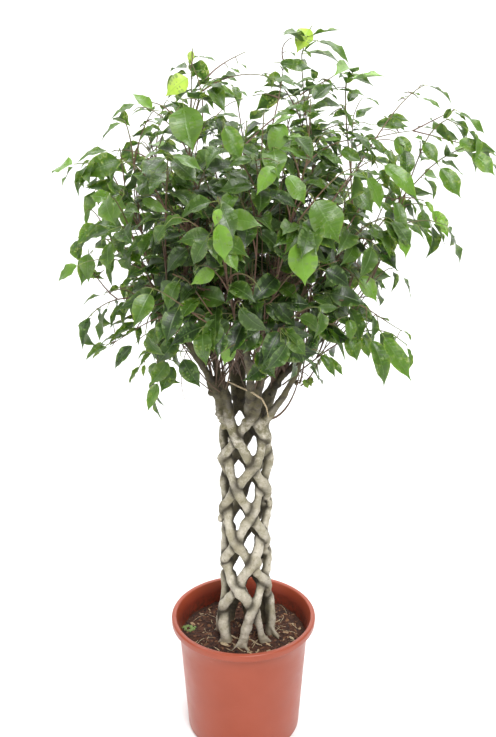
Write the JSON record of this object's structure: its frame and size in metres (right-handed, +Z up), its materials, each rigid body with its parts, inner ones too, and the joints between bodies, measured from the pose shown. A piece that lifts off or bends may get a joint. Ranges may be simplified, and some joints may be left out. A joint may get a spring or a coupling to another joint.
{
  "type": "potted weeping fig",
  "caption": "Indoor tree with an openwork trunk of woven stems, a broad crown of drooping pointed leaves and a round tapered pot.",
  "frame": {"origin": "centre of the pot's underside, on the surface that the pot stands on", "axes": "+Z up along the pot's axis; -Y towards the viewer of the picture, +X to the viewer's right"},
  "size_m": [0.7237, 0.5508, 1.272],
  "materials": {
    "pot_plastic": "satin",
    "potting_mix": "matte",
    "fig_bark": "matte",
    "fig_leaf": "satin"
  },
  "bodies": {
    "root": {"pot": "pot_plastic", "potting_mix": "potting_mix", "woven_trunk": "fig_bark", "leafy_shoot_01": "fig_leaf", "leafy_shoot_02": "fig_leaf", "leafy_shoot_03": "fig_leaf", "leafy_shoot_04": "fig_leaf", "leafy_shoot_05": "fig_leaf", "leafy_shoot_06": "fig_leaf", "leafy_shoot_07": "fig_leaf", "leafy_shoot_08": "fig_leaf", "leafy_shoot_09": "fig_leaf", "leafy_shoot_10": "fig_leaf", "leafy_shoot_11": "fig_leaf", "leafy_shoot_12": "fig_leaf", "leafy_shoot_13": "fig_leaf", "leafy_shoot_14": "fig_leaf", "leafy_shoot_15": "fig_leaf", "leafy_shoot_16": "fig_leaf", "leafy_shoot_17": "fig_leaf", "leafy_shoot_18": "fig_leaf", "leafy_shoot_19": "fig_leaf", "leafy_shoot_20": "fig_leaf", "leafy_shoot_21": "fig_leaf", "leafy_shoot_22": "fig_leaf", "leafy_shoot_23": "fig_leaf", "leafy_shoot_24": "fig_leaf", "leafy_shoot_25": "fig_leaf", "leafy_shoot_26": "fig_leaf", "leafy_shoot_27": "fig_leaf", "leafy_shoot_28": "fig_leaf", "leafy_shoot_29": "fig_leaf", "leafy_shoot_30": "fig_leaf", "leafy_shoot_31": "fig_leaf", "leafy_shoot_32": "fig_leaf", "leafy_shoot_33": "fig_leaf", "leafy_shoot_34": "fig_leaf"}
  },
  "joints": []
}
